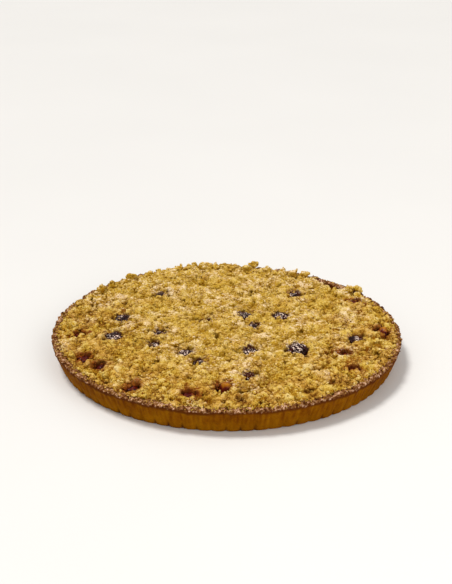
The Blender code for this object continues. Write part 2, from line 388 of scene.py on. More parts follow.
rim_middle, rim_half_width, rim_rise = 136.0, 3.2, 1.7
rim_arc = [
    (rim_middle + rim_half_width * math.cos(turn), 18.2 + rim_rise * math.sin(turn) ** 0.8)
    for turn in [math.pi * i / 16 for i in range(17)]
]
outline = [(0, 0), (60, 0)]
outline += [(113, 0), (115.4, 0.1), (116.6, 0.5), (117.4, 0.5), (118.6, 0.1), (120, 0)]
outline += [(128, 0), (131.3, 0.0), (132.3, 0.35), (132.8, 0.8)]
outline += along((133.1, 1.5), (139.3, 17.6), 20)
outline += rim_arc
outline += along((132.9, 17.4), (129, 4.4), 6)
outline += [(128, 4.0), (60, 4.0), (0, 4.0)]
print("outline points:", len(outline))

# %% [markdown]
# The spin operator sweeps the outline round the axis. The two ends lie on the axis, so all
# their copies fall on one spot, and so do the first and last outline. Merging by distance
# closes the shell, and the normals are made to point outwards afterwards, because a spin can
# leave them inside out.

# %% Spin the shell
drawn = bpy.data.meshes.new("pastry")
rows = [(radius * MM, 0.0, height * MM) for radius, height in outline]
drawn.from_pydata(rows, [(i, i + 1) for i in range(len(rows) - 1)], [])
pastry = add_object("pastry", drawn)
take(pastry)
bpy.ops.object.mode_set(mode="EDIT")
bpy.ops.mesh.select_all(action="SELECT")
bpy.ops.mesh.spin(
    steps=FLUTES * STEPS_PER_FLUTE, angle=math.tau, center=(0, 0, 0), axis=(0, 0, 1)
)
bpy.ops.mesh.select_all(action="SELECT")
bpy.ops.mesh.remove_doubles(threshold=0.00001)
bpy.ops.mesh.normals_make_consistent(inside=False)
bpy.ops.object.mode_set(mode="OBJECT")
print("shell triangles:", triangles(pastry))

# %% [markdown]
# Now the ribs. At each angle the wall is drawn in by about a millimetre: not at all on a rib's
# crest, and all the way in the groove. A sine raised to less than one makes the ribs broad and
# round and the grooves narrow, as a tin's are. The grooves are deepest at the foot and fade
# towards the rim, where fingers and the knife have smoothed them, and no two are quite equally
# deep or equally dark.
# The pastry has also shrunk and sagged a little, so slow waves move the rim by half a
# millimetre and the wall by less.

# %% Press the ribs
FLUTE_DEPTH = 1.5 * MM


def rough_round(around, up, size, seed):
    """Noise at the shell's corners, stretched by its numbers for around and up."""
    return np.array([rough((*polar(around, a), up * h), size, seed) for a, h in zip(angle, height)])


places = corners(pastry)
radius = np.hypot(places[:, 0], places[:, 1])
angle = np.arctan2(places[:, 1], places[:, 0])
height = places[:, 2]
flute = (angle + math.pi / 2) / math.tau * FLUTES
groove = 1 - np.sin(math.pi * (flute % 1.0)) ** 0.7
outside = smoothstep(-4.0 * MM, -1.0 * MM, radius - (FOOT + height * 0.35))
fade = 1 - 0.35 * smoothstep(3 * MM, 12 * MM, height) - 0.40 * smoothstep(16 * MM, 20 * MM, height)
nearest = np.floor(flute + 0.5).astype(int) % FLUTES
depth = np.random.default_rng(4).uniform(0.50, 0.95, FLUTES)[nearest]
darkness = np.random.default_rng(7).uniform(0.15, 1.0, FLUTES)[nearest]
drawn_in = FLUTE_DEPTH * groove * outside * fade * depth
swell = rough_round(3, 20, 0.35, 0.0)
jitter = rough_round(60, 0, 1.0, 5.0)
radius_new = radius - drawn_in - outside * (0.25 * MM + 0.30 * MM * swell + 0.20 * MM * jitter)
lift = smoothstep(12 * MM, 19 * MM, height) * (0.60 * MM * swell + 0.70 * MM * jitter)
ribbed = [radius_new * np.cos(angle), radius_new * np.sin(angle), height + lift]
move_corners(pastry, np.stack(ribbed, axis=1))
print("widest radius in mm:", round(1000 * radius_new.max(), 2))

# %% [markdown]
# The rim is short and crumbly where it was trimmed: grains of butter and sugar have baked into
# a surface like coarse sand. That is real relief, so it comes from Displace modifiers that push
# the corners along their normals by a cloudy texture. A vertex group limits two of them to the
# rim, and a third, weaker one reaches down the wall.

# %% Roughen the rim
shares = {
    "rim": smoothstep(17.4 * MM, 19.0 * MM, height),
    "wall": smoothstep(0.3 * MM, 1.5 * MM, height) * (radius > FOOT - 1 * MM),
}
for name, values in shares.items():
    group = pastry.vertex_groups.new(name=name)
    for index, share in enumerate(values):
        group.add([index], share, "REPLACE")


def push(piece, name, size, strength, group):
    """Displaces a vertex group along its normals by a cloudy texture."""
    texture = bpy.data.textures.new(name, "CLOUDS")
    texture.noise_scale = size
    texture.noise_depth = 2
    modifier = piece.modifiers.new(name, "DISPLACE")
    modifier.texture = texture
    modifier.texture_coords = "LOCAL"
    modifier.strength = strength
    modifier.mid_level = 0.5
    modifier.vertex_group = group
    apply_modifiers(piece)


push(pastry, "rim_lumps", 3.2 * MM, 4.0 * MM, "rim")
push(pastry, "rim_grains", 1.3 * MM, 2.4 * MM, "rim")
push(pastry, "wall_grains", 2.0 * MM, 0.5 * MM, "wall")
WIDEST, HIGHEST_RIM = 139.8 * MM, 21 * MM
rough_rim = corners(pastry)
reach = away_from(rough_rim, (0, 0))
rough_rim[:, :2] *= np.minimum(1, WIDEST / np.maximum(reach, 1e-9))[:, None]
rough_rim[:, 2] = np.clip(rough_rim[:, 2], 0, HIGHEST_RIM)
move_corners(pastry, rough_rim)
print("rim's top in mm:", round(1000 * rough_rim[:, 2].max(), 2))

# %% [markdown]
# Shortcrust browns where it is thin and dry. The wall is darker in the grooves, most of all near
# the foot, along the foot itself and in a band under the rim: partly browning, and partly painted
# shade in the narrow grooves and under the rim's edge. The mesh remembers how deep in a groove
# each corner is as an attribute called `groove`, which the material reads, so the colour follows
# the ribs exactly. A second one, `streak`, holds faint upright streaks.

# %% Store the grooves and finish the pastry
store(pastry, groove=groove * outside * darkness, streak=rough_round(75, 90, 1.0, 3.0))
shade_smooth(pastry)
crust = Finish("baked_pastry", 0.75, specular=0.02)
blotch = crust.noise(0.016, 3.0)
fine = crust.noise(0.0016, 3.0, 0.6)
level = crust.height()
wall = crust.shades(
    blotch * 0.75 + fine * 0.35 + crust.attribute("streak") * 0.30 - 0.05,
    (0.25, (0.120, 0.028, 0.0003)),
    (0.48, (0.195, 0.059, 0.0004)),
    (0.72, (0.260, 0.096, 0.0008)),
)
# The lower wall is painted lighter: painted light, bounced up from below.
wall = crust.mix(level.between(12 * MM, 4 * MM) * 0.45, wall, (0.330, 0.125, 0.0010))
# Darker grooves low on the wall, a darker foot and a dark band under the rim: partly browning,
# partly painted shade in the grooves and under the rim.
low_groove_shade = crust.attribute("groove") * level.between(9 * MM, 1.5 * MM)
browning_and_shade = low_groove_shade * 0.95 + level.between(1.5 * MM, 0.0) * 0.25
browning_and_shade = browning_and_shade + (level + (blotch - 0.5) * 6 * MM).between(14.0 * MM, 18.0 * MM) * 0.80
wall = crust.mix(browning_and_shade.between(0.1, 1.0), wall, (0.072, 0.013, 0.002))
rim_tone = crust.shades(
    crust.noise(0.0019, 3.0, 0.65) * 0.8 + crust.noise(0.006) * 0.25,
    (0.40, (0.030, 0.006, 0.002)),
    (0.48, (0.130, 0.042, 0.009)),
    (0.56, (0.260, 0.118, 0.038)),
    (0.66, (0.650, 0.405, 0.270)),
)
on_rim = (level + (fine - 0.5) * 6.0 * MM).between(17.7 * MM, 19.1 * MM)
crust.set("Base Color", crust.mix(on_rim, wall, rim_tone))
crust.bump(crust.noise(0.0009, 3.0) + crust.noise(0.0025), 0.0006)
pastry.data.materials.append(crust.material)
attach(pastry, "root")
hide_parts("pastry_shell")
print("pastry triangles:", triangles(pastry))

# %% [markdown]
# ## What lies where
# The berries and the gaps where jam shows are already placed in the CAD model. A berry's box
# gives its middle and its width. The jam wells up in the gaps, so the highest corners of the
# filling give those places: they are grouped into spots by how near they are to each other.
# `BARE` says how much of each berry the crumbs leave free.

# %% Read the places of berries and gaps
berry_names = sorted(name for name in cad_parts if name[-1].isdigit())
berries = []
for name in berry_names:
    low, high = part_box(name)
    berries.append(((low + high) / 2, (high.x - low.x) / 2))
BARE = [
    0.66, 0.48, 0.40, 0.42, 0.42, 0.40, 0.34, 0.28,
    0.40, 0.32, 0.62, 0.40, 0.46, 0.76, 0.40, 0.50,
]
gaps = []
filling_corners = corners(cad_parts["raspberry_filling"])
for x, y, z in filling_corners[filling_corners[:, 2] > 19.8 * MM]:
    spot = Vector((x, y, 0))
    near = [gap for gap in gaps if (gap[0] / gap[1] - spot).length < 9 * MM]
    if near:
        near[0][0] += spot
        near[0][1] += 1
    else:
        gaps.append([spot, 1])
gaps = [total / count for total, count in gaps]
print("berries:", len(berries), "gaps:", len(gaps))

# %% [markdown]
# ## Stains, toffee and cracks
# In a few more places juice has only stained the crumbs: `STAINS` lists their middle and reach.
# Two of the gaps, near `TOFFEE_AT`, are a little larger, because their jam has boiled over.
# Short dark cracks are left between the clods everywhere, and most of all beside the berries.
# Each is a bent row of two to four small holes, and their bottoms are darkened as painted shade.
# The darkest ones have their own places; the others are drawn at random, from a seed so that
# they stay the same.

# %% Place the stains, toffee and cracks
STAINS = [
    (-98, -62, 22), (-102, 76, 9), (98, -58, 16),
    (-35, -112, 13), (8, -108, 11), (-118, -14, 12),
]
gap_draw = random.Random(3)
gap_sizes = [gap_draw.uniform(3.6, 5.0) * MM for _ in gaps]
TOFFEE_AT = [Vector((-2 * MM, -104 * MM, 0)), Vector((124 * MM, -3 * MM, 0))]
toffees = [any((spot - place).length < 9 * MM for place in TOFFEE_AT) for spot in gaps]
gap_sizes = [5.6 * MM if toffee else wide for wide, toffee in zip(gap_sizes, toffees)]
draw = random.Random(28)
holes = []


def crack(x, y, largest, dark):
    """Adds a bent row of holes that starts at a place, darkened by the share dark: painted shade.
    """
    way = draw.uniform(0, math.tau)
    for _ in range(draw.randint(2, 4)):
        size = draw.uniform(0.5 * largest, largest)
        holes.append((x, y, size, dark))
        way += draw.uniform(-0.8, 0.8)
        x, y = x + 1.3 * size * math.cos(way), y + 1.3 * size * math.sin(way)


SEEN_CRACKS = [
    (-96, 41), (21, 74), (95, 47), (103, -1), (28, -31), (8, -120), (10, -110), (-8, 79),
    (14, -20), (60, -52), (-5, -111),
]
for x, y in SEEN_CRACKS:
    crack(x * MM, y * MM, 1.5 * MM, 0.9)
for middle, wide in berries:
    for _ in range(2):
        way, away = draw.uniform(0, math.tau), draw.uniform(0.95, 1.3) * wide
        crack(middle.x + 1.2 * away * math.cos(way), middle.y + away * math.sin(way), 1.4 * MM, 0.9)
for _ in range(60):
    away, way = 129 * MM * math.sqrt(draw.random()), draw.uniform(0, math.tau)
    crack(*polar(away, way), draw.uniform(0.6, 1.2) * MM, 0.35)
holes = np.array(holes)
print("toffee lumps:", sum(toffees), "holes:", len(holes))

# %% [markdown]
# ## A fine disc
# The crumble and the jam under it are both layers with a lively top and a plain underside. A
# fine grid makes such a layer: it is cut to a disc, and its edge is drawn down and closed. The
# top can then be raised corner by corner.

# %% Cut a disc from a grid
def disc(name, wide, steps):
    """A closed disc of radius wide. Its top lies at 0 and its underside a centimetre lower."""
    put_down()
    bpy.ops.mesh.primitive_grid_add(x_subdivisions=steps, y_subdivisions=steps, size=2 * wide)
    layer = bpy.context.object
    layer.name = name
    grid = corners(layer)
    layer.data.vertices.foreach_set("select", away_from(grid, (0, 0)) > wide - 0.3 * MM)
    layer.data.edges.foreach_set("select", np.zeros(len(layer.data.edges), bool))
    layer.data.polygons.foreach_set("select", np.zeros(len(layer.data.polygons), bool))
    bpy.context.tool_settings.mesh_select_mode = (True, False, False)
    bpy.ops.object.mode_set(mode="EDIT")
    bpy.ops.mesh.delete(type="VERT")
    bpy.ops.mesh.select_all(action="SELECT")
    bpy.ops.mesh.region_to_loop()
    bpy.ops.mesh.extrude_region_move(TRANSFORM_OT_translate={"value": (0, 0, -10 * MM)})
    bpy.ops.mesh.edge_face_add()
    bpy.ops.mesh.select_all(action="SELECT")
    bpy.ops.mesh.normals_make_consistent(inside=False)
    bpy.ops.object.mode_set(mode="OBJECT")
    return layer


# %% [markdown]
# ## The crumble's core
# Under the loose pieces the crumble is one baked layer of knobs stuck together. It reaches a
# little into the pastry's wall, so that no gap opens between the two.

# %% Cut the core
CORE_RADIUS = 134.0 * MM
core = disc("crumble_core", CORE_RADIUS, 310)
print("core triangles:", triangles(core))

# %% [markdown]
# The relief is a heap of half-sunk round knobs of many sizes. Each knob raises the grid's
# corners under it to its own dome, wherever that is higher than what is there. Neighbours meet
# in sharp creases, as real crumbs do, where plain noise would give soft waves. The corner also
# remembers the tint of its topmost knob.

# %% Raise the core
HEAP_MIDDLE = 22.4 * MM
HEAP_EDGE = 19.2 * MM
CORE_FOOT = 14.4 * MM
CORE_UNDERSIDE = 14.2 * MM


def toward(x, y, degrees, full, reach):
    """1 within full degrees of a direction from the middle, 0 beyond reach degrees of it."""
    way = math.radians(degrees)
    nearness = (x * math.cos(way) + y * math.sin(way)) / np.maximum(np.hypot(x, y), 1e-6)
    return smoothstep(math.cos(math.radians(reach)), math.cos(math.radians(full)), nearness)


def heap_height(x, y):
    """The bare core's height. It was heaped higher at the back and is low at one place."""
    distance = np.hypot(x, y)
    inward = smoothstep(0, 20 * MM, CORE_RADIUS - distance)
    crown = 1.2 * MM * (1 - (distance / CORE_RADIUS) ** 2)
    edge = HEAP_EDGE + 2.6 * MM * toward(x, y, 100, 10, 24) - 2.6 * MM * toward(x, y, 46, 6, 12)
    return edge + (HEAP_MIDDLE - 1.2 * MM - edge) * inward + crown


def tone(x, y, chance):
    """How pale a piece is, from 0 to 1: mostly by chance, partly by where it lies."""
    patch = 0.5 + 0.6 * rough((x, y, 0), 24 * MM, 9.0)
    return min(1.0, max(0.0, 0.70 * chance + 0.30 * patch))


def lowness(places):
    """1 for corners deep between the clods, 0 for those on their tops."""
    above = places[:, 2] - heap_height(places[:, 0], places[:, 1])
    return smoothstep(3.6 * MM, -1.2 * MM, above)


shape = corners(core)
is_top = shape[:, 2] > -1 * MM
surface = heap_height(shape[:, 0], shape[:, 1]) - 2.6 * MM
knob_tint = np.full(len(shape), 0.3)
by_column = np.argsort(shape[:, 0])
column = shape[by_column, 0]
draw = random.Random(12)
for small, large, count in ((3.2, 5.4, 1500), (1.6, 2.8, 3000), (1.0, 1.4, 5000)):
    for _ in range(count):
        size = draw.uniform(small, large) * MM
        distance, angle = CORE_RADIUS * math.sqrt(draw.random()), draw.uniform(0, math.tau)
        x, y = polar(distance, angle)
        first, last = np.searchsorted(column, (x - size, x + size))
        under = by_column[first:last]
        away = away_from(shape[under], (x, y))
        under, away = under[away < size], away[away < size]
        if not len(under):
            continue
        if large > 3:
            base = float(heap_height(x, y)) - 1.9 * MM + draw.uniform(-1.4, 0.3) * MM
        else:
            base = float(surface[under[np.argmin(away)]]) - 0.35 * size
        dome = base + 0.75 * np.sqrt(np.maximum(size**2 - away**2, 0))
        higher = dome > surface[under]
        surface[under[higher]] = dome[higher]
        knob_tint[under[higher]] = tone(x, y, draw.random())
print("knobs reach", round(1000 * surface.max(), 1), "mm")

# %% [markdown]
# The crumble dips round each berry and in each small hole, and in each gap it goes down to the
# jam. There its crumbs have soaked up juice. A number stored for the material darkens these
# places almost to black: juice stain in the gaps, juice stain and painted shade in the rings
# round the berries, and painted shade at the bottom of the small holes. Another, called `syrup`,
# is stored a little farther out round the gaps, where the juice has only browned them.
# A crease is where a corner lies lower than the blurred surface round it, and the blur is a
# mean over the grid's neighbours, repeated a few times. The material darkens the creases and the
# low places between the knobs: that darkening is painted shade.

# %% Sink the berries and gaps, and find the creases
juice, browned = np.zeros(len(shape)), np.zeros(len(shape))
wobble = rough_from_above(shape, 5 * MM, 6.0)
for (middle, size), bare in zip(berries, BARE):
    away = away_from(shape, middle)
    surface -= (0.8 + 2.4 * bare) * MM * (1 - smoothstep(size - 2.5 * MM, size + 0.5 * MM, away))
    # A dark ring round the berry: juice stain and painted shade.
    juice = np.maximum(juice, 1 - smoothstep(size - 1.0 * MM, size + 1.5 * MM, away))
for spot, wide in zip(gaps, gap_sizes):
    away = away_from(shape, spot) + 3.0 * MM * wobble
    depth = 1 - smoothstep(wide - 0.6 * MM, wide + 1.4 * MM, away)
    surface = surface * (1 - depth) + CORE_FOOT * depth
    juice = np.maximum(juice, 1 - smoothstep(wide, wide + 2.5 * MM, away))
    browned = np.maximum(browned, 1 - smoothstep(wide + 1 * MM, wide + 4.6 * MM, away))
for x, y, size, dark in holes:
    away = away_from(shape, (x, y)) + 0.8 * MM * wobble
    depth = 1 - smoothstep(size, size + 1.6 * MM, away)
    surface -= 3.0 * MM * depth
    # The bottom of a hole is darkened: painted shade.
    juice = np.maximum(juice, dark * depth)
shape[:, 2] = np.where(is_top, surface, CORE_UNDERSIDE)
move_corners(core, shape)
edges = np.array([tuple(edge.vertices) for edge in core.data.edges])
blurred = surface.copy()
for _ in range(8):
    total = np.bincount(edges[:, 0], blurred[edges[:, 1]], len(shape))
    total += np.bincount(edges[:, 1], blurred[edges[:, 0]], len(shape))
    blurred = total / np.maximum(np.bincount(edges.ravel(), minlength=len(shape)), 1)
# Creases and low places between the knobs, which the material darkens as painted shade.
crease = np.maximum(smoothstep(0.1 * MM, 1.3 * MM, blurred - surface), 0.7 * lowness(shape))
store(core, tint=knob_tint, crease=crease, juice=juice, syrup=browned)
print("core's top in mm:", round(1000 * shape[:, 2].max(), 1))

# %% [markdown]
# ## Crumbs to copy
# A crumble clod is a knot of flour, butter and sugar, and looks like a tiny cauliflower: a lump
# with smaller knobs stuck all over it. It is modelled like that, from balls that a voxel remesh
# melts together, and then thinned to a few hundred faces. A dozen different clods are enough,
# because each copy is turned and stretched in its own way.

# %% Model a dozen clods
CLOD_KINDS, CLOD_KNOBS, CLOD_FACES = 12, 12, 330


def ball(radius, place=(0, 0, 0), subdivisions=2):
    """Adds a ball of even triangles."""
    bpy.ops.mesh.primitive_ico_sphere_add(subdivisions=subdivisions, radius=radius, location=place)
    return bpy.context.object


def melt(balls, main, voxel_size):
    """Joins balls into the main one and melts them into one skin."""
    for part in balls:
        part.select_set(True)
    bpy.context.view_layer.objects.active = main
    bpy.ops.object.join()
    bpy.ops.object.transform_apply(location=True, rotation=True, scale=True)
    remesh = main.modifiers.new("melt", "REMESH")
    remesh.mode = "VOXEL"
    remesh.voxel_size = voxel_size
    apply_modifiers(main)


def shape_of(piece, hollow, proud):
    """Corners scaled to radius 1, triangles and painted shade in the dips of a piece, then removed.
    """
    shaped = corners(piece)
    shaped /= np.linalg.norm(shaped, axis=1).max()
    piece.data.calc_loop_triangles()
    faces = np.array([tuple(face.vertices) for face in piece.data.loop_triangles])
    bpy.data.objects.remove(piece)
    return shaped, faces, smoothstep(proud, hollow, np.linalg.norm(shaped, axis=1))


def model_clod(seed):
    """A knobbly clod as (corners, faces, painted shade in its dips)."""
    draw = random.Random(seed)
    put_down()
    balls = [ball(0.64)]
    for _ in range(CLOD_KNOBS):
        way = Vector((draw.gauss(0, 1), draw.gauss(0, 1), draw.gauss(0, 0.8))).normalized()
        place = way * draw.uniform(0.42, 0.66)
        balls.append(ball(draw.uniform(0.24, 0.46), place))
    clod = balls[-1]
    melt(balls, clod, 0.09)
    thin = clod.modifiers.new("thin", "DECIMATE")
    thin.ratio = CLOD_FACES / triangles(clod)
    apply_modifiers(clod)
    return shape_of(clod, 0.60, 0.85)


clod_shapes = [model_clod(seed) for seed in range(CLOD_KINDS)]
print("faces of the clods:", [len(faces) for _, faces, _ in clod_shapes])

# %% [markdown]
# The smaller pieces are only a few pixels wide and there are thousands, so they are simple: an
# ico sphere has even faces, and noise pushes its corners in and out without pinching them.

# %% Model the smaller crumbs
def model_crumb(seed, subdivisions, lumpiness):
    """One crumb as (corners, faces, painted shade in its dips)."""
    put_down()
    crumb = ball(1.0, subdivisions=subdivisions)
    shaped = []
    for x, y, z in corners(crumb):
        out = 1 + lumpiness * rough((x, y, z), 1.1, seed)
        out += 0.6 * lumpiness * rough((x, y, z), 0.5, seed + 7)
        shaped.append((x * out, y * out, z * out))
    move_corners(crumb, shaped)
    return shape_of(crumb, 0.50, 0.80)


lump_shapes = [model_crumb(11.3 * i, 2, 0.55) for i in range(1, 13)]
crumb_shapes = [model_crumb(5.7 * i, 1, 0.5) for i in range(1, 9)]
print("faces of a lump and of a crumb:", len(lump_shapes[0][1]), len(crumb_shapes[0][1]))

# %% [markdown]
# Copying thousands of pieces one by one with operators would take hours. The copies' corners
# are worked out as arrays instead, and one mesh is made of them all. Each copy also stores
# four numbers from 0 to 1 at its corners: a random `tint`, by which the material makes it
# pale, golden or browned, a number for painted shade in its dips and low down between the
# clods, a `blush` where it lies near a berry, and `syrup` where jam has soaked it and baked to
# toffee.

# %% Join many copies into one mesh
def join_copies(name, shapes, placed, seed):
    """One mesh of crumbs. placed lists (place, radius, tint) of each."""
    draw = random.Random(seed)
    all_corners, all_faces, tints, hollow_shades = [], [], [], []
    start = 0
    for place, size, tint in placed:
        shape, faces, hollow_shade = draw.choice(shapes)
        limits = ((0.95, 1.2), (0.85, 1.05), (0.65, 0.95))
        stretch = np.array([draw.uniform(low, high) for low, high in limits])
        roll = np.array(Euler([draw.uniform(0, math.tau) for _ in range(3)]).to_matrix())
        lean = Euler((draw.uniform(-0.4, 0.4), draw.uniform(-0.4, 0.4), draw.uniform(0, math.tau)))
        turned = ((shape @ roll.T) * stretch) @ np.array(lean.to_matrix()).T
        all_corners.append(turned * size + np.array(place))
        all_faces.append(faces + start)
        tints.append(np.full(len(shape), tint))
        hollow_shades.append(hollow_shade)
        start += len(shape)
    mesh = bpy.data.meshes.new(name)
    joined = np.concatenate(all_corners)
    mesh.from_pydata(joined.tolist(), [], np.concatenate(all_faces).tolist())
    near_berry, near_gap = np.zeros(len(joined)), np.zeros(len(joined))
    for middle, wide in berries:
        away = away_from(joined, middle)
        near_berry = np.maximum(near_berry, 1 - smoothstep(0.7 * wide, wide + 7 * MM, away))
    for spot, wide in zip(gaps, gap_sizes):
        away = away_from(joined, spot)
        near_gap = np.maximum(near_gap, 1 - smoothstep(wide + 0.6 * MM, wide + 6 * MM, away))
        deep = lowness(joined) * (1 - smoothstep(wide + 4 * MM, wide + 7 * MM, away))
        near_gap = np.maximum(near_gap, np.clip(1.6 * deep, 0, 1))
    for x, y, reach in STAINS:
        away = away_from(joined, (x * MM, y * MM))
        near_gap = np.maximum(near_gap, 0.55 * (1 - smoothstep(0.3 * reach * MM, reach * MM, away)))
    # Painted shade in each piece's dips and low down between the clods.
    hollow_shade = np.maximum(np.concatenate(hollow_shades), 0.7 * lowness(joined))
    piece = add_object(name, mesh)
    store(piece, tint=np.concatenate(tints), crease=hollow_shade, blush=near_berry, syrup=near_gap)
    shade_smooth(piece)
    return piece


print("shapes to copy:", len(clod_shapes), len(lump_shapes), len(crumb_shapes))

# %% [markdown]
# ## Scattering in layers
# Crumble is heaped from above, so it is built the same way: the largest clods first, then
# smaller ones dropped on what is already there, down to crumbs of a millimetre. A ray cast
# straight down finds the surface that a piece lands on. Clods keep clear of berries and gaps,
# most of all on the side that faces the viewer. Smaller pieces may lie on a berry, in patches.

# %% Rules for dropping a piece
TOP = cad_high.z - 0.3 * MM
LOWEST = 15 * MM
landed_on = []


def land_on(piece):
    """Lets later pieces land on this one."""
    landed_on.append(BVHTree.FromObject(piece, bpy.context.evaluated_depsgraph_get()))


def surface_height(x, y):
    """The height of the highest thing at a place."""
    hits = [tree.ray_cast(Vector((x, y, 0.05)), Vector((0, 0, -1)))[0] for tree in landed_on]
    return max((hit.z for hit in hits if hit), default=0.0)


def at_low_edge(x, y):
    """Whether a place lies where the heap's edge is low and the rim shows bare."""
    return toward(x, y, 46, 6, 11) > 0.3


def blocked(x, y, size, gap_share):
    """Whether a piece would bury a berry, a gap or a hole."""
    for (middle, wide), bare in zip(berries, BARE):
        away = math.hypot(x - middle.x, y - middle.y)
        if away > wide + 3 * size:
            continue
        if size > 3.2 * MM:
            in_view = 4.0 * MM * bare if y < middle.y else 0
            if away < (0.30 + 0.60 * bare) * wide + 0.80 * size + in_view:
                return True
        elif away < wide + 0.5 * size:
            patch = 0.5 + 0.9 * rough((x, y, 0), 3.4 * MM, 4.0) + 0.35 * (away / wide - 0.5)
            if patch < bare + (0.12 if size > 1.8 * MM else 0):
                return True
    for spot, wide in zip(gaps, gap_sizes):
        edge = gap_share * wide - 3.0 * MM * rough((x, y, 0), 5 * MM, 6.0) + 0.65 * size
        if math.hypot(x - spot.x, y + 1.2 * MM - spot.y) < edge:
            return True
    if size > 1.6 * MM and math.hypot(x, y) > 122 * MM and at_low_edge(x, y):
        return True
    open_to = holes[:, 2] + (0.55 if size < 3.4 * MM else 0.70) * size
    return bool((np.hypot(holes[:, 0] - x, (holes[:, 1] - y - 0.4 * MM) * 1.15) < open_to).any())


land_on(core)
land_on(pastry)
print("surface in the middle, mm:", round(1000 * surface_height(0.0, 0.0), 1))

# %% [markdown]
# The largest clods are spread first and keep a little apart, so that they read as single
# lumps. Some lie over the rim, mostly at the back, where the crumble was heaped highest.
# Small crumbs roll off a clod's top and settle between the clods, so most of those that would
# land high up are dropped somewhere else.

# %% Scatter the clods
CELL = 0.015


def cell_of(x, y):
    """The square of a coarse grid that a place is in, to look up its neighbours fast."""
    return int(x // CELL), int(y // CELL)


def scatter(count, small, large, reach, closeness, sink, gap_share, seed, placed=(), rolls=0.0):
    """Places for a layer of pieces: (place, radius, tint) of each."""
    draw = random.Random(seed)
    placed = list(placed)
    near = {}
    for place, size, _ in placed:
        near.setdefault(cell_of(place.x, place.y), []).append((place.x, place.y, size))
    tries = 0
    while len(placed) < count and tries < 30 * count:
        tries += 1
        size = small + (large - small) * draw.random() ** 1.5
        distance = (reach - size) * math.sqrt(draw.random())
        angle = draw.uniform(0, math.tau)
        x, y = polar(distance, angle)
        if blocked(x, y, size, gap_share):
            continue
        cell = cell_of(x, y)
        around = [(cell[0] + i, cell[1] + j) for i in (-1, 0, 1) for j in (-1, 0, 1)]
        others = [other for key in around for other in near.get(key, ())] if closeness else []
        if any(math.hypot(a - x, b - y) < closeness * (size + wide) for a, b, wide in others):
            continue
        ground = surface_height(x, y)
        if ground > heap_height(x, y) + 1.6 * MM and draw.random() < rolls:
            continue
        z = ground + size * draw.uniform(*sink)
        if z + 0.9 * size > TOP or z < LOWEST:
            continue
        near.setdefault(cell, []).append((x, y, size))
        placed.append((Vector((x, y, z)), size, tone(x, y, draw.random())))
    return placed


def lay(name, shapes, layer, seed):
    """Makes one mesh of a layer and lets later pieces land on it."""
    piece = join_copies(name, shapes, layer, seed)
    crumble.append(piece)
    land_on(piece)
    print(name, "has", len(layer), "pieces and", triangles(piece), "triangles")


crumble = [core]
RIM_CLODS = [
    (35, 137, 22.6, 5.6), (37, 130, 22, 5.4), (31, 129.5, 21.8, 4.4), (59, 131.4, 21.4, 4.6),
    (63, 128, 21.8, 4.8), (68, 131, 21.2, 4), (74, 129.5, 21.8, 4.6), (80, 133.6, 23.5, 4.8),
    (82, 127, 22.4, 5.2), (87, 130, 21.8, 4.8), (91, 131.8, 21.6, 4.4), (94, 128.5, 22.4, 5.2),
    (97, 132.4, 21.8, 4.8), (100, 129, 22.6, 5.4), (103, 132.2, 21.8, 4.6), (106, 129, 22.4, 5.2),
    (109, 132.4, 21.6, 4.6), (112, 129, 22, 4.8), (117, 131, 21.2, 4.2), (122, 128.5, 21.8, 4.6),
    (129, 135, 22.6, 5), (133, 128, 22.2, 5), (139, 131.4, 21.4, 4.4), (145, 131, 21.8, 4.8),
    (152, 130, 21.4, 4.4), (160, 131, 21.2, 4), (338, 131, 21.6, 4.6), (249, 130.8, 21.4, 4.2),
    (205, 131, 21.6, 4.4), (190, 130.5, 21.2, 4), (8, 130.6, 21.2, 4.2), (318, 130.6, 21.2, 4),
]
draw = random.Random(15)
rim_clods = []
for degrees, distance, z, size in RIM_CLODS:
    place = Vector((*polar(distance * MM, math.radians(degrees)), z * MM))
    rim_clods.append((place, size * MM, 0.30 + 0.4 * draw.random()))
layer = scatter(150, 5.0 * MM, 6.8 * MM, 131 * MM, 0.84, (-0.55, -0.25), 1.0, 1, rim_clods)
layer = scatter(570, 3.4 * MM, 5.2 * MM, 132 * MM, 0.72, (-0.45, -0.05), 1.0, 9, layer)
lay("crumble_clods", clod_shapes, layer, 2)

# %% [markdown]
# Each next layer lands on the ones before it. The crumble's edge hangs a little over the rim,
# so a border of lumps is laid round it first, except in the low place where the rim shows bare.

# %% Drop the smaller pieces
BORDER_LUMPS = 320
draw = random.Random(61)
border = []
for step in range(BORDER_LUMPS):
    way = math.tau * (step + draw.uniform(-0.4, 0.4)) / BORDER_LUMPS
    spread = 0.5 + 0.5 * rough((*polar(1, way), 0), 0.16, 8.0)
    over = 3.4 * MM - 2.8 * MM * toward(*polar(1, way), 172, 30, 55)
    distance = draw.uniform(130.2, 132.8) * MM + over * spread
    x, y = polar(distance, way)
    if not at_low_edge(x, y):
        place = Vector((x, y, surface_height(x, y) + draw.uniform(-0.6, 0.4) * MM))
        border.append((place, draw.uniform(1.8, 2.9) * MM, tone(x, y, draw.random() * 0.8)))
layer = scatter(1250, 1.9 * MM, 3.1 * MM, 134 * MM, 0.60, (-0.45, 0.05), 0.92, 3, border, 0.85)
lay("crumble_lumps", lump_shapes, layer, 4)
layer = scatter(4200, 0.9 * MM, 1.8 * MM, 137 * MM, 0, (-0.3, 0.3), 0.75, 5, (), 0.85)
lay("crumble_crumbs", crumb_shapes, layer, 6)
layer = scatter(8000, 0.45 * MM, 0.9 * MM, 139 * MM, 0, (-0.2, 0.5), 0.6, 7, (), 0.4)
lay("crumble_fine_crumbs", crumb_shapes, layer, 8)
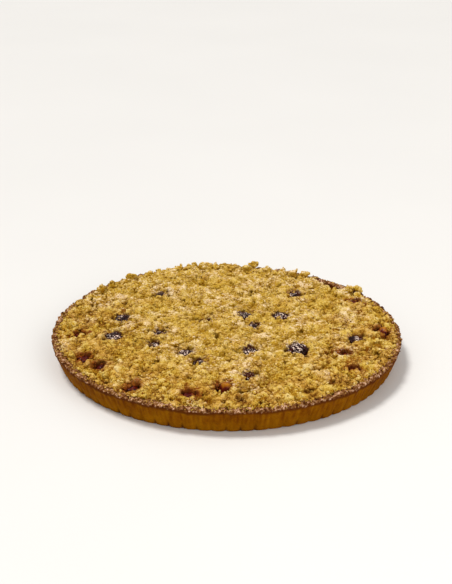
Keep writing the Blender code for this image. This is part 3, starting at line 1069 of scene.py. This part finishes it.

# %% [markdown]
# ## The crumble's finish
# Baked crumble is golden with pale floury knobs, and a few pieces are toasted brown. Its
# surface is dull and grainy. Icing sugar was sifted over it: it shows as pale specks on what
# faces up, in loose drifts and not everywhere. The material mixes all of that from the stored
# tint, a few sizes of noise, the creases and the direction that the surface faces. The creases
# and the low places between the clods are darkened as painted shade, and so are small pits from
# a fine noise. Towards the rim the oven was hotter, so the darkest tones, the painted shade in
# the hollows among them, are a redder brown there.

# %% Finish the crumble
topping = Finish("baked_crumble", 0.92, specular=0.03)
length = {"operation": "LENGTH"}
from_middle = topping.node("ShaderNodeVectorMath", length, {0: topping.place}, "Value")
not_at_back = topping.part_of(topping.place, "Y").between(0.075, 0.005)
outer = from_middle.between(0.050, 0.125) * not_at_back
grain = topping.noise(0.0010, 2.0, 0.80)
patch = topping.noise(0.0055)
pale = topping.attribute("tint") * (0.22 + outer * 0.20) + grain * 0.86
pale = pale + (patch - 0.5) * (0.16 + outer * 0.36) - outer * 0.070 - 0.107
# Painted shade: darker in the creases and low down between the clods.
pale = pale - topping.attribute("crease") * (0.24 + outer * 0.10)
golden = topping.shades(
    pale,
    (0.00, (0.140, 0.042, 0.001)),
    (0.20, (0.440, 0.238, 0.010)),
    (0.40, (0.635, 0.422, 0.070)),
    (0.60, (0.725, 0.545, 0.205)),
    (0.85, (0.820, 0.695, 0.420)),
)
# Towards the outside the darkest tones, the painted shade of the creases among them, turn a redder
# brown.
low_tones = outer * pale.between(0.40, 0.06)
golden = topping.mix(low_tones * 0.50, golden, (0.190, 0.046, 0.001))
toasted = topping.shades(
    pale,
    (0.05, (0.140, 0.040, 0.004)),
    (0.40, (0.570, 0.300, 0.048)),
    (0.82, (0.840, 0.620, 0.300)),
)
toast = (topping.noise(0.013) + outer * 0.06).between(0.46, 0.66) * (0.30 + outer * 0.40)
golden = topping.mix(toast, golden, toasted)
blush = topping.attribute("blush")
flushed = blush * topping.noise(0.0035).between(0.40, 0.62)
golden = topping.mix(flushed * 0.55, golden, (0.360, 0.170, 0.120))
bleeding = blush * topping.noise(0.0015, 1.0).between(0.52, 0.62)
golden = topping.mix(bleeding * 0.8, golden, (0.130, 0.035, 0.030))
soaked = topping.attribute("syrup")
soaked = soaked * (soaked * 0.65 + topping.noise(0.004).between(0.26, 0.56) * 0.30)
golden = topping.mix(soaked * 0.95, golden, (0.230, 0.050, 0.006))
# Small dark pits from a fine noise: painted shadows of tiny holes between the crumbs.
painted_pit_shadows = topping.noise(0.0012, 1.0).between(0.38, 0.29)
golden = topping.mix(painted_pit_shadows * 0.85, golden, (0.150, 0.060, 0.006))
# Nearly black: juice stain in the gaps, painted shade in the holes, both in the rings round the
# berries.
golden = topping.mix(topping.attribute("juice"), golden, (0.045, 0.007, 0.003))
drift = (topping.noise(0.030) - outer * 0.19).between(0.29, 0.54)
specks = topping.noise(0.0012, 2.0, 0.75).between(0.55, 0.61) * (0.20 + 0.80 * drift)
veil = topping.noise(0.009).between(0.42, 0.66) * (0.10 + 0.90 * drift) * 0.65
clear = 1 - topping.attribute("crease")
dust = (specks * 0.85 + veil) * topping.upward().between(0.2, 0.85) * clear
topping.set("Base Color", topping.mix(dust.between(0.0, 1.1), golden, (0.87, 0.69, 0.48)))
topping.bump(topping.noise(0.0010, 3.0, 0.65) + topping.noise(0.0024, 1.0), 0.0009)
shade_smooth(core)
for piece in crumble:
    piece.data.materials.append(topping.material)
    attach(piece, "root")
    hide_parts("crumble_topping")
    print("dressed:", piece.name)

# %% [markdown]
# ## The raspberries
# A raspberry is a cup of small round drupelets in staggered rows. Baked, it slumps, turns
# almost black, and its drupelets run together. One berry is modelled: a body with drupelets
# set in rings on it, melted together by a voxel remesh.

# %% Model one raspberry
def model_raspberry():
    """A baked raspberry of radius about 1 as an object."""
    draw = random.Random(31)
    put_down()
    bpy.ops.mesh.primitive_uv_sphere_add(segments=24, ring_count=16, radius=0.80)
    berry = bpy.context.object
    parts = [berry]
    rows_of = [(-62, 6), (-36, 11), (-10, 13), (16, 13), (42, 10), (66, 6), (88, 1)]
    for row, (latitude, count) in enumerate(rows_of):
        for i in range(count):
            around = math.tau * (i + 0.5 * (row % 2)) / count + draw.uniform(-0.06, 0.06)
            up = math.radians(latitude + draw.uniform(-4, 4))
            out = 0.79 + draw.uniform(-0.03, 0.03)
            place = (*polar(out * math.cos(up), around), out * math.sin(up))
            parts.append(ball(draw.uniform(0.20, 0.25), place))
    melt(parts, berry, 0.055)
    smooth = berry.modifiers.new("soften", "SMOOTH")
    smooth.factor = 0.4
    smooth.iterations = 2
    apply_modifiers(berry)
    return berry


model = model_raspberry()
model_shape = corners(model)
print("raspberry triangles:", triangles(model))

# %% [markdown]
# Each berry of the tart is a copy of its own, turned another way, bent a little by noise and
# fitted to the CAD berry's box. The skin is nearly black, with sugar caught on what faces up.

# %% Copy it into every berry's place
skin = Finish("baked_raspberry", 0.45, coat=0.02, specular=0.10)
flesh = skin.shades(
    skin.noise(0.004),
    (0.35, (0.007, 0.0008, 0.001)),
    (0.60, (0.024, 0.002, 0.002)),
    (0.80, (0.080, 0.005, 0.004)),
)
grains = skin.noise(0.0013, 1.0, 0.7).between(0.55, 0.60)
dusted = grains * skin.noise(0.0052, 1.0).between(0.44, 0.55) * skin.upward().between(0.2, 0.7)
skin.set("Base Color", skin.mix(dusted * 0.95, flesh, (0.90, 0.70, 0.58)))
skin.set("Roughness", 0.42 + dusted * 0.45)
skin.bump(skin.noise(0.0008), 0.0002)
for number, (name, (middle, size)) in enumerate(zip(berry_names, berries)):
    low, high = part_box(name)
    turned = model_shape @ np.array(Euler((0.5 * number, 0.9 * number, 1.7 * number)).to_matrix()).T
    bend = [[rough(place, 0.6, number + k) for k in (0.0, 0.3, 0.6)] for place in turned]
    turned = turned + 0.05 * np.array(bend)
    span = turned.max(axis=0) - turned.min(axis=0)
    centred = turned - (turned.max(axis=0) + turned.min(axis=0)) / 2
    placed = centred / span * np.array(high - low) + np.array((low + high) / 2)
    berry = add_object("berry" + name[-3:], model.data.copy())
    move_corners(berry, placed)
    shade_smooth(berry)
    berry.data.materials.clear()
    berry.data.materials.append(skin.material)
    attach(berry, "root")
    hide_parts(name)
bpy.data.objects.remove(model)
print("berries made:", len(berry_names))

# %% [markdown]
# ## The jam
# Where the crumble gapes, boiled juice and broken berries have welled up: dark red where they
# are deep, an orange brown towards the right, where the oven was hotter. Two of the pools, at
# `TOFFEE_AT`, have baked into a lump of toffee that stands up between the clods, a little to
# one side, so that a dark hollow is left on the other.
# The jam is a second disc under the first one. It rises to an uneven pool in each gap, just
# below the crumbs' tops, so that it shows from a low angle too. How far it has baked is stored
# at its corners for the material.

# %% Make the jam
JAM_RADIUS, JAM_UNDERSIDE = 128.5 * MM, 4.3 * MM
JAM_LEVEL = 13.6 * MM
POOL_LEVEL = 20.2 * MM
TOFFEE_LEVEL = 23.8 * MM
TOFFEE_ASIDE = Vector((1.5, 1.2, 0)) * MM
jam = disc("jam", JAM_RADIUS, 240)
pools = corners(jam)
level = np.full(len(pools), JAM_LEVEL)
baked = np.zeros(len(pools))
uneven = rough_from_above(pools, 5 * MM, 6.0)
for spot, wide, toffee in zip(gaps, gap_sizes, toffees):
    middle = spot + TOFFEE_ASIDE if toffee else spot
    away = away_from(pools, middle) + 2.6 * MM * uneven
    top, share = POOL_LEVEL, 0.55 * smoothstep(0.02, 0.09, spot.x)
    risen = smoothstep(wide + 2.2 * MM, wide - 1.0 * MM, away)
    if toffee:
        top, share = TOFFEE_LEVEL, 1.0
        risen = np.sqrt(np.clip(1 - (away / wide) ** 2, 0, 1))
    level = np.maximum(level, JAM_LEVEL + (top - JAM_LEVEL) * risen)
    baked = np.where(away < wide + 5 * MM, share, baked)
waves = rough_from_above(pools, 3.4 * MM, 2.0) + 0.5 * rough_from_above(pools, 1.7 * MM, 5.0)
level += 1.5 * MM * waves * (level > JAM_LEVEL) * (1 - 0.5 * baked)
pools[:, 2] = np.where(pools[:, 2] > -1 * MM, level, JAM_UNDERSIDE)
move_corners(jam, pools)
store(jam, baked=baked)
shade_smooth(jam)
print("jam triangles:", triangles(jam), "highest in mm:", round(1000 * level.max(), 1))

# %% [markdown]
# Jam is wet, so it is smoother than the rest of the tart. Its colour runs from nearly black
# over dark red to an orange brown, by how far it has baked and how high it stands.

# %% Finish the jam
syrup = Finish("raspberry_jam", 0.24, coat=0.01, specular=0.10)
high_up = syrup.height().between(20.0 * MM, 24.0 * MM)
tone_of_jam = syrup.attribute("baked") * (0.04 + high_up * 0.26)
tone_of_jam = tone_of_jam + syrup.noise(0.0026, 2.0, 0.6) * 0.70
cooked = syrup.shades(
    tone_of_jam,
    (0.24, (0.014, 0.001, 0.001)),
    (0.38, (0.070, 0.004, 0.002)),
    (0.48, (0.120, 0.014, 0.001)),
    (0.58, (0.290, 0.088, 0.002)),
    (0.74, (0.420, 0.175, 0.008)),
)
syrup.set("Base Color", cooked)
syrup.bump(syrup.noise(0.0018), 0.0006)
jam.data.materials.append(syrup.material)
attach(jam, "root")
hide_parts("raspberry_filling")
print("jam:", jam.name)

# %% [markdown]
# ## Finishing
# The finished model has to keep the CAD model's size, so both boxes are written side by side.

# %% Compare the sizes and finish
low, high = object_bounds()
print("visual box in mm:", [round(1000 * side, 1) for side in high - low])
shown = [piece for piece in bpy.data.objects if piece.type == "MESH" and not piece.hide_render]
print("triangles in all:", sum(triangles(piece) for piece in shown))
